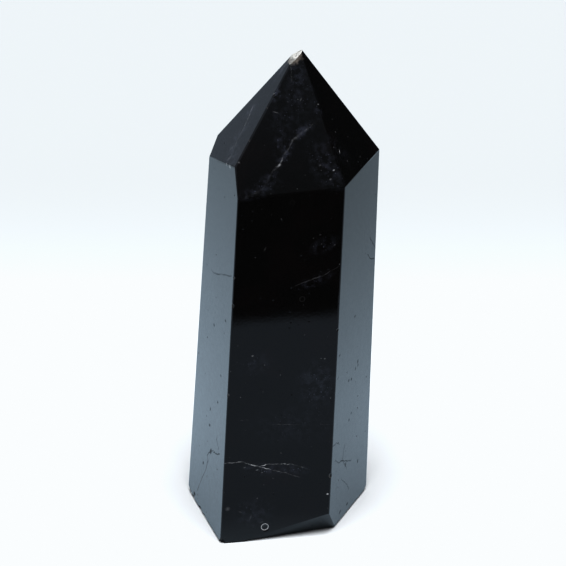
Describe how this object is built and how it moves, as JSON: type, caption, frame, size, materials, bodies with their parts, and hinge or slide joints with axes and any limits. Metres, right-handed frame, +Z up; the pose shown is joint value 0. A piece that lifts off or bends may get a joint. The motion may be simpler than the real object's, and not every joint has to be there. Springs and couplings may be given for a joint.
{
  "type": "morion quartz point",
  "caption": "Polished black quartz point, a slender faceted prism with a pointed tip, standing upright on a flat ground foot.",
  "frame": {"origin": "centre of the flat resting face at the foot", "axes": "+Z up along the point, towards its tip; -Y towards the widest polished face"},
  "size_m": [0.0307, 0.0295, 0.0793],
  "materials": {
    "polished_morion": "polished to a glassy gloss, near black"
  },
  "bodies": {
    "root": {"quartz_point": "polished_morion"}
  },
  "joints": []
}
